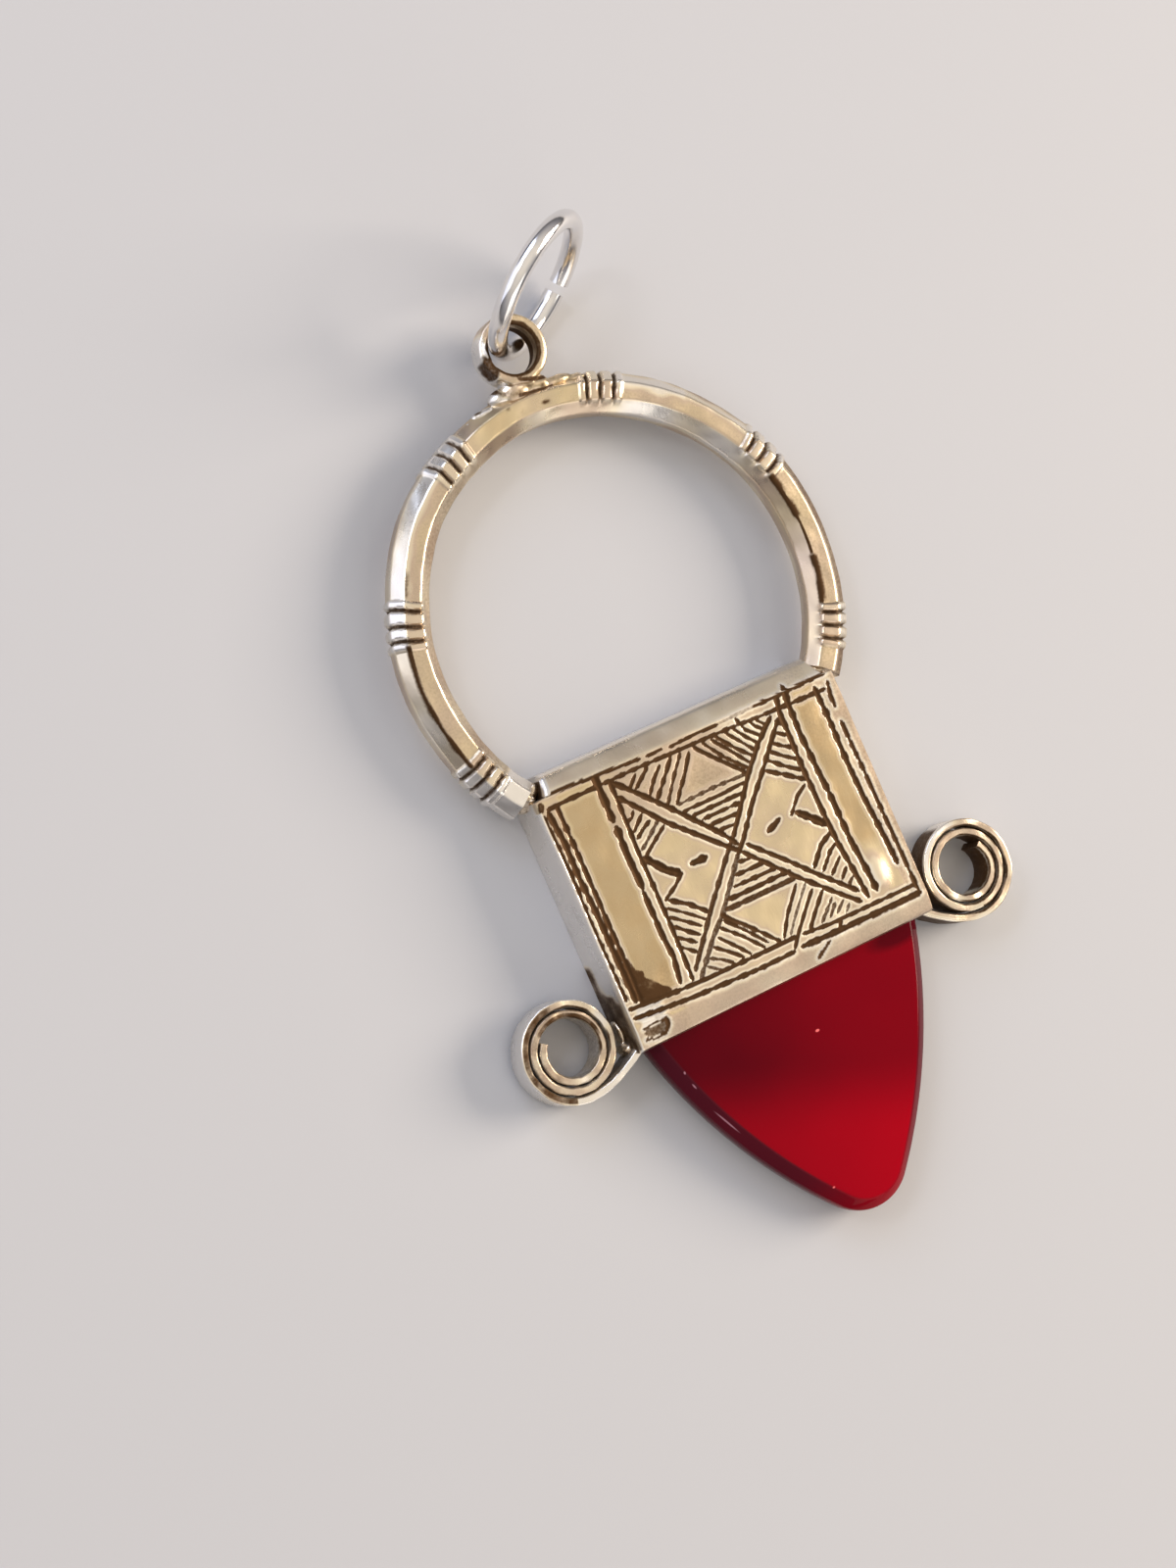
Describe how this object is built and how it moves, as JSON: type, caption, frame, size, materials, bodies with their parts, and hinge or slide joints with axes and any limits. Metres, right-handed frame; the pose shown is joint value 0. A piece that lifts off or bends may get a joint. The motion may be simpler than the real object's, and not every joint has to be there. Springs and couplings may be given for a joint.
{
  "type": "tuareg cross pendant",
  "caption": "Flat silver pendant: a faceted hoop with an eye and jump ring, on an engraved hollow box with side coils, holding a pointed red stone.",
  "frame": {"origin": "middle of the box's flat back, on the surface that the pendant lies on", "axes": "+X to the right as seen from the front, +Y along the pendant to the eye, +Z out of the engraved front"},
  "size_m": [0.0248, 0.0444, 0.0066],
  "materials": {
    "silver": "hand-worked silver, worn satin with dark tarnish in the lines",
    "red_stone": "ground and polished, deep red, almost opaque",
    "ring_silver": "drawn wire, polished"
  },
  "bodies": {
    "root": {"silver_frame": "silver", "stone": "red_stone", "jump_ring": "ring_silver"}
  },
  "joints": []
}
